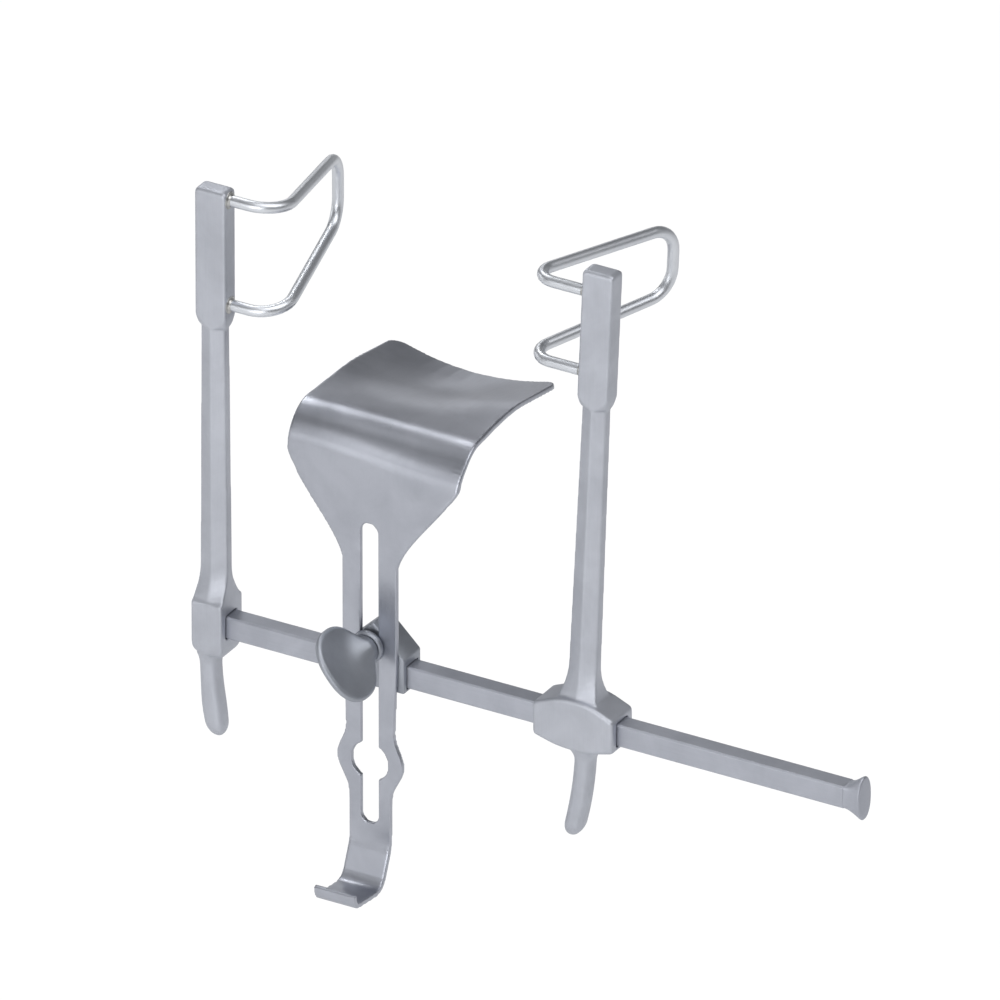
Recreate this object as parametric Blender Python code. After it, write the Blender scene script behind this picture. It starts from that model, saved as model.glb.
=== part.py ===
"""Self-retaining abdominal retractor: a crossbar with a fixed arm, a sliding arm and a
centre blade that is clamped to a carriage on the bar. Metres, +Z up the arms, +X along the
bar from the fixed arm to the end stop, +Y from the front of the bar into the wound.
The origin is the centre of the fixed boss's outer face, on the bar's axis.
"""

import math

import bmesh
import bpy
from mathutils import Vector

MM = 0.001

# Clearance between neighbouring pieces
GAP = 0.3 * MM

# Crossbar
BAR_LENGTH = 200.0 * MM  # clear, from the fixed boss to the end stop
BAR_HEIGHT = 7.0 * MM
BAR_DEPTH = 6.0 * MM
BAR_EDGE = 0.5 * MM

# Fixed boss, with a blind socket for the bar and a pin from behind
FIXED_BOSS_WIDTH = 10.0 * MM
BOSS_WALL = 3.0 * MM  # in front of the bar and behind it
FIXED_BOSS_ABOVE = 4.5 * MM  # over the bar's top
FIXED_BOSS_BELOW = 6.2 * MM  # under the bar's underside
FIXED_BOSS_ROUND = 4.2 * MM  # of its lower outer corner, seen from the front
FIXED_BOSS_INNER = 1.4 * MM  # how far its lower inner corner draws in
FIXED_BOSS_HEEL = 2.4 * MM  # how far its underside draws in, in front and behind
SOCKET_DEPTH = 7.5 * MM
PIN_DIAMETER = 2.5 * MM
PIN_BITE = 1.5 * MM  # how far the pin enters the front wall

# Sliding boss, an elongated octagon seen from the front
SLIDE_BOSS_LENGTH = 26.0 * MM
SLIDE_BOSS_FLAT = 9.6 * MM  # length of its level top and underside
SLIDE_BOSS_ABOVE = 5.3 * MM  # over the bar's top, at the middle
SLIDE_BOSS_BELOW = 3.6 * MM
SLIDE_END_ABOVE = 1.9 * MM  # over the bar's top, at the ends
SLIDE_END_BELOW = 1.4 * MM
SLIDE_BOSS_BEND = 3.0 * MM  # easing of the octagon's four shallow corners
SLIDE_BOSS_CORNER = 0.9 * MM  # easing of the four at its ends
SLIDE_BOSS_ROUND = 0.8 * MM  # of the edges round its front and back
SLIDE_REST = 119.3 * MM  # from the fixed arm's axis to the sliding arm's

# Arms, forged with a ridge down the front and the back
ARM_DEPTH = 6.0 * MM
SHANK_TOP_WIDTH = 7.8 * MM
FIXED_ROOT_WIDTH = 9.0 * MM
SLIDE_ROOT_WIDTH = 9.1 * MM
SHANK_SIDE = 2.6 * MM  # depth of the narrow flat on each side
RIDGE_FLAT = 0.3 * MM
FLARE_RISE = 10.0 * MM  # height of the flare from the boss into the shank
SLIDE_FLARE_WIDTH = 14.5 * MM  # foot of the sliding arm's flare, on the boss
SLIDE_LEAN = math.radians(2.5)  # the sliding arm leans outward
FIXED_TOP = 138.2 * MM
SLIDE_TOP = 145.0 * MM

# Blocks at the arms' tops, which hold the wire blades
BLOCK_WIDTH = 10.0 * MM
BLOCK_HEIGHT = 40.2 * MM
BLOCK_EDGE = 0.4 * MM
BLOCK_CROWN = 1.2 * MM  # radius of the top corners
BLOCK_BLEND = 3.6 * MM  # height in which the block runs out into the shank

# Finger handles below the bosses, rounded bars that spread at their roots
HANDLE_WIDTH = 5.9 * MM
HANDLE_DEPTH = 5.8 * MM
HANDLE_ROUND = 2.2 * MM  # corner radius of the section
HANDLE_TIP = 4.6 * MM
HANDLE_BEND = 1.9  # above 1 the handle bends mostly near its tip
HANDLE_SPREAD_RISE = 5.0 * MM
HANDLE_SPREAD_DEPTH = 1.6 * MM  # in front and behind, at the root
FIXED_HANDLE_DROP = 36.8 * MM  # from the bar's axis to the tip
FIXED_HANDLE_SWELL = 0.9 * MM  # extra width at two thirds of the way down
FIXED_HANDLE_SPREAD = 0.1 * MM  # on each side, at the root
FIXED_HANDLE_ROOT = -1.9 * MM  # sideways from the arm's axis
FIXED_HANDLE_END = 0.7 * MM
SLIDE_HANDLE_DROP = 37.2 * MM
SLIDE_HANDLE_SWELL = 0.1 * MM
SLIDE_HANDLE_SPREAD = 2.2 * MM
SLIDE_HANDLE_ROOT = 1.2 * MM
SLIDE_HANDLE_END = -3.2 * MM

# Wire blades
WIRE_DIAMETER = 3.4 * MM
WIRE_HOLE_DEPTH = 4.0 * MM
WIRE_REACH_IN = 50.0 * MM  # along Y, to the middle of the wire at the tip
WIRE_TIP_SPAN = 20.8 * MM
WIRE_TIP_RADIUS = 8.0 * MM
FIXED_WIRE_DROP = 3.0 * MM  # top wire under the block's top
FIXED_WIRE_SPAN = 33.2 * MM
FIXED_WIRE_CORNER = 21.5 * MM  # sideways from the arm's axis to where the runs would cross
FIXED_WIRE_SPLAY = math.radians(12.0)
FIXED_WIRE_BEND = 8.5 * MM
SLIDE_WIRE_DROP = 8.0 * MM
SLIDE_WIRE_SPAN = 25.5 * MM
SLIDE_WIRE_CORNER = 24.2 * MM
SLIDE_WIRE_SPLAY = math.radians(21.0)
SLIDE_WIRE_BEND = 6.0 * MM

# End stop, an oval button screwed into the bar's end
STOP_WIDTH = 13.5 * MM
STOP_DEPTH = 9.0 * MM
STOP_FLARE = 3.2 * MM
STOP_RIM = 1.0 * MM
STOP_DOME = 1.2 * MM
STOP_STEM_DIAMETER = 3.6 * MM
STOP_STEM_LENGTH = 8.0 * MM

# Carriage for the centre blade, a house shape seen from the front
CARRIAGE_REST = 53.8 * MM  # from the fixed arm's axis to the stud's axis
CARRIAGE_WIDTH = 20.4 * MM
CARRIAGE_WALL = 1.8 * MM  # in front of the bar and behind it
CARRIAGE_BELOW = 1.1 * MM  # under the bar's underside
CARRIAGE_EAVES = 2.7 * MM  # over the bar's top, at the sides
CARRIAGE_RIDGE = 12.5 * MM  # over the bar's top, at the middle
CARRIAGE_EDGE = 0.5 * MM
STUD_RISE = 6.0 * MM  # stud axis over the bar's top

# Clamp
STUD_DIAMETER = 5.0 * MM
STUD_HEAD_DIAMETER = 6.2 * MM
STUD_HEAD_DEPTH = 1.4 * MM
THREAD_DIAMETER = 3.6 * MM  # of the stud's end, in the nut
STUD_IN_NUT = 4.5 * MM
WASHER_DIAMETER = 10.0 * MM
WASHER_THICKNESS = 1.5 * MM
HUB_DIAMETER = 8.6 * MM
HUB_COLLAR = 1.3 * MM  # length of the plain collar at the hub's back
HUB_NECK_DIAMETER = 6.6 * MM  # in front of the collar
HUB_LENGTH = 10.5 * MM  # to where the hub runs out into the thumb plate
THUMB_LENGTH = 22.4 * MM
THUMB_WIDTH = 19.6 * MM
THUMB_POWER = 2.35  # 2 is an ellipse, and more is squarer
THUMB_THICKNESS = 2.3 * MM
THUMB_SETBACK = 1.2 * MM  # from the hub's back to the thumb plate's near edge
THUMB_TURN = math.radians(51.0)  # how far the plate hangs below level on its +X side

# Centre blade, measured along the flat blank from the stud's axis
BLADE_THICKNESS = 1.5 * MM
BLADE_SHANK_WIDTH = 17.8 * MM
BLADE_TAIL_WIDTH = 13.2 * MM
BLADE_WIDTH = 54.6 * MM
BLADE_END_WIDTH = 54.2 * MM
BLADE_CORNER = 4.6 * MM
BLADE_NECK = 26.5 * MM  # where the shoulders start
BLADE_SHOULDER = 56.0 * MM  # where they reach the full width
BLADE_TAIL_TAPER = 54.5 * MM  # below the stud, where the taper ends
SLOT_ABOVE = 38.8 * MM
SLOT_BELOW = 57.2 * MM
KEYHOLE_CLEARANCE = 1.0 * MM  # round the washer, which the keyhole lets through
KEYHOLE_WALL = 4.7 * MM  # width of the sheet on each side of the keyhole
KEYHOLE_DROP = 37.3 * MM
KEYHOLE_CHEEK_LENGTH = 21.0 * MM
BLADE_BEND_RISE = 67.6 * MM  # stud to the level of the blade's top
BLADE_BEND_RADIUS = 10.0 * MM
BLADE_LEAN_BACK = 1.2 * MM  # how far the shoulders lean back, from over the slot to the bend
BLADE_LEAN_RADIUS = 60.0 * MM
BLADE_REACH_IN = 54.0 * MM  # along Y, to the far edge
BLADE_MID = 30.0 * MM  # along Y, where the top starts to droop
BLADE_MID_DROP = 1.2 * MM
BLADE_END_DROP = 4.8 * MM
BLADE_DROOP_RADIUS = 60.0 * MM
BLADE_HOLLOW = 4.2 * MM  # how far the far edge is hollowed at its middle
HOOK_KNEE = 63.5 * MM  # below the stud
HOOK_FLOOR = 75.2 * MM
HOOK_SLANT = 5.0 * MM  # how far forward the slanted part brings the sheet
HOOK_LENGTH = 14.6 * MM
HOOK_RISE = 1.6 * MM  # from the heel to the toe
HOOK_LIP = 3.8 * MM
HOOK_KNEE_RADIUS = 14.0 * MM
HOOK_HEEL_RADIUS = 4.8 * MM
HOOK_TOE_RADIUS = 1.9 * MM

# Spacing of the blank's rows of points
ROW_FINE = 1.4 * MM
ROW_MIDDLE = 1.8 * MM
ROW_COARSE = 3.5 * MM
ROW_STRAIGHT = 8.0 * MM

# Worked out from the sizes above
ARM_AXIS = FIXED_BOSS_WIDTH / 2
BAR_START = FIXED_BOSS_WIDTH
BAR_END = BAR_START + BAR_LENGTH
BOSS_DEPTH = BAR_DEPTH + 2 * BOSS_WALL
SLIDE_AXIS = ARM_AXIS + SLIDE_REST
CARRIAGE_AXIS = ARM_AXIS + CARRIAGE_REST
CARRIAGE_DEPTH = BAR_DEPTH + 2 * CARRIAGE_WALL
STUD_HEIGHT = BAR_HEIGHT / 2 + STUD_RISE
BLADE_BACK = -CARRIAGE_DEPTH / 2 - GAP
BLADE_FRONT = BLADE_BACK - BLADE_THICKNESS
WASHER_FRONT = BLADE_FRONT - GAP - WASHER_THICKNESS
HUB_BACK = WASHER_FRONT - GAP
SLOT_WIDTH = STUD_DIAMETER + 2 * GAP
KEYHOLE_DIAMETER = WASHER_DIAMETER + 2 * KEYHOLE_CLEARANCE
KEYHOLE_CHEEK = KEYHOLE_DIAMETER + 2 * KEYHOLE_WALL
LEAN_START = SLOT_ABOVE + CARRIAGE_RIDGE - STUD_RISE  # clear of the roof when fully lowered


def clear_scene():
    for old in list(bpy.data.objects):
        bpy.data.objects.remove(old, do_unlink=True)


def steel(name, grey, roughness):
    """A stainless steel whose sRGB grey level runs from 0 to 1."""
    linear = ((grey + 0.055) / 1.055) ** 2.4
    finish = bpy.data.materials.new(name)
    finish.use_nodes = True
    shader = finish.node_tree.nodes["Principled BSDF"]
    shader.inputs["Base Color"].default_value = (linear, linear, linear * 1.03, 1.0)
    shader.inputs["Metallic"].default_value = 1.0
    shader.inputs["Roughness"].default_value = roughness
    return finish


def add_piece(name, shape, origin, finish=None, parent=None, sharp=math.radians(30)):
    """Turns a bmesh, in coordinates about its origin, into an object placed at that origin."""
    bmesh.ops.recalc_face_normals(shape, faces=shape.faces)
    mesh = bpy.data.meshes.new(name)
    shape.to_mesh(mesh)
    shape.free()
    mesh.shade_smooth()
    mesh.set_sharp_from_angle(angle=sharp)
    piece = bpy.data.objects.new(name, mesh)
    bpy.context.scene.collection.objects.link(piece)
    place(piece, origin, parent)
    if finish:
        mesh.materials.append(finish)
    return piece


def place(piece, origin, parent):
    """Puts a piece at a world position, under its parent where it has one."""
    if parent:
        piece.parent = parent
        piece.location = Vector(origin) - Vector(parent["origin"])
    else:
        piece.location = origin
    piece["origin"] = tuple(origin)


def combine(piece, tool, operation):
    """Joins or cuts a piece with a tool shape, which is kept as a hidden guide."""
    tool.hide_render = True
    tool.display_type = "WIRE"
    step = piece.modifiers.new(tool.name, "BOOLEAN")
    step.operation = operation
    step.solver = "EXACT"
    step.object = tool


def loft(sections):
    """Skins a row of closed sections that have equal numbers of points, and caps both ends."""
    shape = bmesh.new()
    rings = [[shape.verts.new(point) for point in section] for section in sections]
    count = len(rings[0])
    for lower, upper in zip(rings, rings[1:]):
        for i in range(count):
            j = (i + 1) % count
            shape.faces.new((lower[i], lower[j], upper[j], upper[i]))
    shape.faces.new(rings[0])
    shape.faces.new(list(reversed(rings[-1])))
    return shape


def prism(outline, axis, low, high):
    """Extrudes an outline of two coordinates along axis X, Y or Z, from low to high."""

    def point(pair, along):
        first, second = pair
        return {
            "X": (along, first, second),
            "Y": (first, along, second),
            "Z": (first, second, along),
        }[axis]

    return loft([[point(pair, along) for pair in outline] for along in (low, high)])


def oval(half_a, half_b, power=2.0, count=32):
    """Points round an oval: power 2 is an ellipse, and more is squarer."""
    points = []
    for i in range(count):
        angle = 2 * math.pi * i / count
        c, s = math.cos(angle), math.sin(angle)
        points.append(
            (
                half_a * math.copysign(abs(c) ** (2 / power), c),
                half_b * math.copysign(abs(s) ** (2 / power), s),
            )
        )
    return points


def turned(profile, axis="Y", count=32):
    """Revolves pairs of (distance along the axis, radius) about X or Y."""
    sections = []
    for along, radius in profile:
        ring = oval(radius, radius, count=count)
        if axis == "Y":
            sections.append([(a, along, b) for a, b in ring])
        else:
            sections.append([(along, a, b) for a, b in ring])
    return loft(sections)


def round_edges(shape, width, segments=2, sharpest=math.radians(20)):
    """Bevels every edge of a bmesh that is sharper than the given angle."""
    bmesh.ops.recalc_face_normals(shape, faces=shape.faces)
    edges = [e for e in shape.edges if e.calc_face_angle(0.0) > sharpest]
    bmesh.ops.bevel(
        shape, geom=edges, offset=width, offset_type="OFFSET", segments=segments,
        profile=0.5, affect="EDGES", clamp_overlap=True,
    )
    return shape


def rounded_path(corners, radii, step):
    """A path through 3-D corners, each inner one rounded by an arc of its own radius."""
    corners = [Vector(corner) for corner in corners]
    path = [corners[0]]
    for before, corner, after, radius in zip(corners, corners[1:], corners[2:], radii):
        back = (before - corner).normalized()
        ahead = (after - corner).normalized()
        half = back.angle(ahead) / 2
        centre = corner + (back + ahead).normalized() * (radius / math.sin(half))
        start = corner + back * (radius / math.tan(half)) - centre
        end = corner + ahead * (radius / math.tan(half)) - centre
        sweep = start.angle(end)
        count = max(3, math.ceil(radius * sweep / step))
        first, last = start.normalized(), end.normalized()
        path += [centre + first.slerp(last, i / count) * radius for i in range(count + 1)]
    path.append(corners[-1])
    return path


def crossbar(finish):
    """The bar: eased edges, a pin hole in the socketed end and a hole for the stop's stem."""
    y, z, e = BAR_DEPTH / 2, BAR_HEIGHT / 2, BAR_EDGE
    outline = [
        (-y + e, -z), (y - e, -z), (y, -z + e), (y, z - e),
        (y - e, z), (-y + e, z), (-y, z - e), (-y, -z + e),
    ]
    start = BAR_START - SOCKET_DEPTH + GAP
    bar = add_piece("crossbar", prism(outline, "X", start, BAR_END), (0, 0, 0), finish)
    radius = PIN_DIAMETER / 2 + GAP
    hole = add_piece("bar_pin_hole", turned([(BOSS_DEPTH, radius), (-BOSS_DEPTH, radius)]), pin_place())
    combine(bar, hole, "DIFFERENCE")
    radius = STOP_STEM_DIAMETER / 2 + GAP
    depth = STOP_STEM_LENGTH + GAP
    hole = add_piece("bar_end_hole", turned([(-depth, radius), (depth, radius)], "X"), (BAR_END, 0, 0))
    combine(bar, hole, "DIFFERENCE")
    return bar


def pin_place():
    """Centre of the pin's hole: half way along the bar's stretch inside the socket."""
    return (BAR_START - (SOCKET_DEPTH - GAP) / 2, 0, 0)


def ridged_section(x, z, half_width, half_side, half_depth, half_ridge):
    """Eight points: a flat ridge in front and behind, and a narrow flat on each side."""
    w, f, d, g = half_width, half_side, half_depth, half_ridge
    return [
        (x - g, -d, z), (x + g, -d, z), (x + w, -f, z), (x + w, f, z),
        (x + g, d, z), (x - g, d, z), (x - w, f, z), (x - w, -f, z),
    ]


def rounded_rectangle(half_x, half_y, radius, steps=4):
    """Points round a rectangle whose corners are arcs, starting on its +X side."""
    points = []
    for quarter, (side_x, side_y) in enumerate(((1, 1), (-1, 1), (-1, -1), (1, -1))):
        for i in range(steps + 1):
            angle = math.radians(90) * (quarter + i / steps)
            points.append(
                (
                    side_x * (half_x - radius) + radius * math.cos(angle),
                    side_y * (half_y - radius) + radius * math.sin(angle),
                )
            )
    return points


def handle_sections(root, end, drop, swell, spread, low, top):
    """The finger handle, from its tip to its spread root at the boss's underside, and on to top."""
    sections = []

    def add(z, shrink=1.0):
        down = max(0.0, (low - z) / (low + drop))
        x = root + (end - root) * down**HANDLE_BEND
        wider = swell * math.exp(-(((down - 0.66) / 0.25) ** 2))
        near = min(1.0, max(0.0, 1 - (low - z) / HANDLE_SPREAD_RISE)) ** 2
        half_x = (HANDLE_WIDTH + wider) / 2 * shrink + spread * near
        half_y = HANDLE_DEPTH / 2 * shrink + HANDLE_SPREAD_DEPTH * near
        outline = rounded_rectangle(half_x, half_y, HANDLE_ROUND * shrink)
        sections.append([(x + a, b, z) for a, b in outline])

    tip_top, spread_low = -drop + HANDLE_TIP, low - HANDLE_SPREAD_RISE
    tip_steps, bar_steps, root_steps = 6, 6, 5
    for i in range(tip_steps):
        angle = math.radians(90) * (i + 0.5) / tip_steps
        add(tip_top - HANDLE_TIP * math.cos(angle), math.sin(angle))
    for i in range(bar_steps):
        add(tip_top + (spread_low - tip_top) * i / bar_steps)
    for i in range(root_steps + 1):
        add(spread_low + HANDLE_SPREAD_RISE * i / root_steps)
    add(top)
    return sections


def fixed_boss_sections(low, top):
    """The fixed boss, whose underside draws in along arcs towards the handle."""
    sections = []

    def add(z, outer, inner, shallow):
        left, right = outer - FIXED_BOSS_WIDTH / 2, FIXED_BOSS_WIDTH / 2 - inner
        outline = rounded_rectangle((right - left) / 2, BOSS_DEPTH / 2 - shallow, BLOCK_EDGE)
        sections.append([((left + right) / 2 + x, y, z) for x, y in outline])

    steps = 5
    for i in range(steps + 1):
        angle = math.radians(90) * (1 - i / steps)
        share = 1 - math.cos(angle)
        z = low + FIXED_BOSS_ROUND * (1 - math.sin(angle))
        add(z, FIXED_BOSS_ROUND * share, FIXED_BOSS_INNER * share, FIXED_BOSS_HEEL * share)
    add(top - BLOCK_EDGE, 0.0, 0.0, 0.0)
    add(top, BLOCK_EDGE, BLOCK_EDGE, BLOCK_EDGE)
    return sections


def shank_sections(foot_width, root_width, foot, boss_top, top, lean):
    """Flare, tapering ridged shank and plain block, from the boss to the top."""
    sections = []
    side, ridge = SHANK_SIDE / 2, RIDGE_FLAT / 2
    depth = ARM_DEPTH / 2
    block_side = depth - BLOCK_EDGE
    block_half = BLOCK_WIDTH / 2
    block_start = top - BLOCK_HEIGHT
    flare_top = boss_top + FLARE_RISE

    def add(z, half_width, half_side, half_depth, half_ridge):
        x = math.tan(lean) * z
        sections.append(ridged_section(x, z, half_width, half_side, half_depth, half_ridge))

    boss_half = BOSS_DEPTH / 2 - BLOCK_EDGE
    steps = 7
    for i in range(steps + 1):
        level = i / steps
        blend = (1 - level) ** 2
        z = boss_top - foot + (FLARE_RISE + foot) * level
        add(
            z,
            (root_width + (foot_width - root_width) * blend) / 2,
            side + (boss_half - side) * blend,
            depth + (boss_half - depth) * blend,
            ridge,
        )
    low_half, high_half = root_width / 2, SHANK_TOP_WIDTH / 2
    run_out = block_start - BLOCK_BLEND
    add((flare_top + run_out) / 2, (low_half + high_half) / 2, side, depth, ridge)
    steps = 5
    for i in range(steps + 1):
        grow = i / steps
        add(
            run_out + BLOCK_BLEND * grow**2,
            high_half + (block_half - high_half) * grow,
            side + (block_side - side) * grow,
            depth,
            ridge + (block_half - BLOCK_EDGE - ridge) * grow,
        )
    steps = 4
    for i in range(steps + 1):
        angle = math.radians(90) * i / steps
        inset = BLOCK_CROWN * (1 - math.cos(angle))
        round_in = min(inset, BLOCK_EDGE * 2)
        add(
            top - BLOCK_CROWN + BLOCK_CROWN * math.sin(angle),
            block_half - inset,
            block_side - round_in,
            depth - round_in,
            block_half - BLOCK_EDGE - inset,
        )
    return sections


def octagon_boss():
    """Front outline of the sliding boss, about the bar's axis."""
    end, flat = SLIDE_BOSS_LENGTH / 2, SLIDE_BOSS_FLAT / 2
    half = BAR_HEIGHT / 2
    return [
        (-end, -half - SLIDE_END_BELOW), (-flat, -half - SLIDE_BOSS_BELOW),
        (flat, -half - SLIDE_BOSS_BELOW), (end, -half - SLIDE_END_BELOW),
        (end, half + SLIDE_END_ABOVE), (flat, half + SLIDE_BOSS_ABOVE),
        (-flat, half + SLIDE_BOSS_ABOVE), (-end, half + SLIDE_END_ABOVE),
    ]


def drill_wire_holes(arm, origin, side, lean, top, span):
    """Blind holes for the wire's ends in the block's inner side, drilled along X."""
    radius = WIRE_DIAMETER / 2 + GAP
    for number, z in enumerate((top, top - span)):
        face = side * BLOCK_WIDTH / 2 + math.tan(lean) * z
        deep, clear = face - side * WIRE_HOLE_DEPTH, face + side * WIRE_HOLE_DEPTH
        bore = turned([(deep, radius), (clear, radius)], "X", 16)
        bmesh.ops.translate(bore, vec=(0, 0, z), verts=bore.verts)
        hole = add_piece(f"{arm.name}_wire_hole_{number}", bore, origin)
        combine(arm, hole, "DIFFERENCE")


def fixed_arm(finish):
    origin = (ARM_AXIS, 0, 0)
    half = BAR_HEIGHT / 2
    boss_top, boss_low = half + FIXED_BOSS_ABOVE, -half - FIXED_BOSS_BELOW
    shank = shank_sections(
        FIXED_BOSS_WIDTH, FIXED_ROOT_WIDTH, BLOCK_EDGE, boss_top, FIXED_TOP, 0.0
    )
    arm = add_piece("fixed_arm", loft(shank), origin, finish)
    boss = loft(fixed_boss_sections(boss_low, boss_top))
    combine(arm, add_piece("fixed_boss", boss, origin), "UNION")
    handle = loft(
        handle_sections(
            FIXED_HANDLE_ROOT, FIXED_HANDLE_END, FIXED_HANDLE_DROP, FIXED_HANDLE_SWELL,
            FIXED_HANDLE_SPREAD, boss_low, boss_low + FIXED_BOSS_ROUND,
        )
    )
    combine(arm, add_piece("fixed_handle", handle, origin), "UNION")

    y, z = BAR_DEPTH / 2 + GAP, BAR_HEIGHT / 2 + GAP
    outline = [(-y, -z), (y, -z), (y, z), (-y, z)]
    mouth = FIXED_BOSS_WIDTH / 2
    socket = prism(outline, "X", mouth - SOCKET_DEPTH, 2 * mouth)
    combine(arm, add_piece("fixed_socket", socket, origin), "DIFFERENCE")

    radius = PIN_DIAMETER / 2 + GAP
    front = -BAR_DEPTH / 2 - PIN_BITE - GAP
    bore = turned([(front, radius), (BOSS_DEPTH, radius)])
    combine(arm, add_piece("fixed_pin_hole", bore, pin_place()), "DIFFERENCE")

    drill_wire_holes(arm, origin, 1, 0.0, FIXED_TOP - FIXED_WIRE_DROP, FIXED_WIRE_SPAN)
    return arm


def is_along_y(edge):
    along = edge.verts[0].co - edge.verts[1].co
    return abs(along.y) > abs(along.x) + abs(along.z)


def fixed_arm_pin(finish):
    """The cross pin that holds the bar in the fixed boss, flush behind and hidden in front."""
    front = -BAR_DEPTH / 2 - PIN_BITE
    radius = PIN_DIAMETER / 2
    shape = turned([(front, radius), (BOSS_DEPTH / 2, radius)], count=20)
    return add_piece("fixed_arm_pin", shape, pin_place(), finish)


def sliding_arm(finish):
    origin = (SLIDE_AXIS, 0, 0)
    half = BAR_HEIGHT / 2
    boss_top, boss_low = half + SLIDE_BOSS_ABOVE, -half - SLIDE_BOSS_BELOW
    foot = SLIDE_BOSS_ABOVE - SLIDE_END_ABOVE
    shank = shank_sections(
        SLIDE_FLARE_WIDTH, SLIDE_ROOT_WIDTH, foot, boss_top, SLIDE_TOP, SLIDE_LEAN
    )
    arm = add_piece("sliding_arm", loft(shank), origin, finish)

    boss = prism(octagon_boss(), "Y", -BOSS_DEPTH / 2, BOSS_DEPTH / 2)
    boss.normal_update()
    for shallow, easing in ((True, SLIDE_BOSS_BEND), (False, SLIDE_BOSS_CORNER)):
        corners = [
            edge for edge in boss.edges
            if is_along_y(edge) and (edge.calc_face_angle() < math.radians(40)) == shallow
        ]
        bmesh.ops.bevel(
            boss, geom=corners, offset=easing, segments=3, profile=0.5, affect="EDGES"
        )
    round_edges(boss, SLIDE_BOSS_ROUND, 2, math.radians(40))
    combine(arm, add_piece("sliding_boss", boss, origin), "UNION")
    handle = loft(
        handle_sections(
            SLIDE_HANDLE_ROOT, SLIDE_HANDLE_END, SLIDE_HANDLE_DROP, SLIDE_HANDLE_SWELL,
            SLIDE_HANDLE_SPREAD, boss_low, boss_low + SLIDE_BOSS_ROUND * 2,
        )
    )
    combine(arm, add_piece("sliding_handle", handle, origin), "UNION")

    y, z = BAR_DEPTH / 2 + GAP, BAR_HEIGHT / 2 + GAP
    outline = [(-y, -z), (y, -z), (y, z), (-y, z)]
    channel = prism(outline, "X", -SLIDE_BOSS_LENGTH, SLIDE_BOSS_LENGTH)
    combine(arm, add_piece("sliding_channel", channel, origin), "DIFFERENCE")

    drill_wire_holes(arm, origin, -1, SLIDE_LEAN, SLIDE_TOP - SLIDE_WIRE_DROP, SLIDE_WIRE_SPAN)
    return arm


def wire_blade(name, arm, finish, side, lean, top, span, corner, splay, bend):
    """A round wire bent into a narrow loop: out of the block, back into the wound, and home."""
    bottom = top - span
    seat = BLOCK_WIDTH / 2 - WIRE_HOLE_DEPTH + GAP
    tip = corner - math.tan(splay) * WIRE_REACH_IN
    draw_in = (span - WIRE_TIP_SPAN) / 2
    upright = [
        (seat, 0, top),
        (corner, 0, top),
        (tip, WIRE_REACH_IN, top - draw_in),
        (tip, WIRE_REACH_IN, bottom + draw_in),
        (corner, 0, bottom),
        (seat, 0, bottom),
    ]
    corners = [(side * x + math.tan(lean) * z, y, z) for x, y, z in upright]
    radii = (bend, WIRE_TIP_RADIUS, WIRE_TIP_RADIUS, bend)
    path = rounded_path(corners, radii, WIRE_DIAMETER * 0.45)
    curve = bpy.data.curves.new(name, "CURVE")
    curve.dimensions = "3D"
    curve.twist_mode = "MINIMUM"
    curve.bevel_depth = WIRE_DIAMETER / 2
    curve.bevel_resolution = 5
    curve.use_fill_caps = True
    spline = curve.splines.new("POLY")
    spline.points.add(len(path) - 1)
    for point, place_on_path in zip(spline.points, path):
        point.co = (*place_on_path, 1.0)
    curve.materials.append(finish)
    wire = bpy.data.objects.new(name, curve)
    bpy.context.scene.collection.objects.link(wire)
    place(wire, arm["origin"], arm)
    return wire


def end_stop(finish):
    """Oval button: a waist the size of the bar, a flare, a rim, a low dome and its stem."""
    stations = [
        (GAP, BAR_DEPTH / 2, BAR_HEIGHT / 2, 4.0),
        (GAP + STOP_FLARE * 0.35, BAR_DEPTH / 2 * 1.06, BAR_HEIGHT / 2 * 1.2, 3.4),
        (GAP + STOP_FLARE * 0.75, STOP_DEPTH / 2 * 0.88, STOP_WIDTH / 2 * 0.86, 2.7),
        (GAP + STOP_FLARE, STOP_DEPTH / 2 * 0.985, STOP_WIDTH / 2 * 0.985, 2.5),
        (GAP + STOP_FLARE + STOP_RIM * 0.35, STOP_DEPTH / 2, STOP_WIDTH / 2, 2.4),
        (GAP + STOP_FLARE + STOP_RIM, STOP_DEPTH / 2 * 0.98, STOP_WIDTH / 2 * 0.98, 2.4),
    ]
    rim = stations[-1][0]
    for i in range(1, 5):
        angle = math.radians(90) * i / 4.6
        shrink = 0.98 * math.cos(angle) ** 0.6
        stations.append(
            (rim + STOP_DOME * math.sin(angle), STOP_DEPTH / 2 * shrink, STOP_WIDTH / 2 * shrink, 2.4)
        )
    sections = [[(x, y, z) for y, z in oval(a, b, power, 28)] for x, a, b, power in stations]
    button = add_piece("end_stop", loft(sections), (BAR_END, 0, 0), finish)
    radius = STOP_STEM_DIAMETER / 2
    stem = turned([(-STOP_STEM_LENGTH, radius), (GAP + STOP_FLARE / 2, radius)], "X", 20)
    combine(button, add_piece("stop_stem", stem, (BAR_END, 0, 0)), "UNION")
    return button


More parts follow.
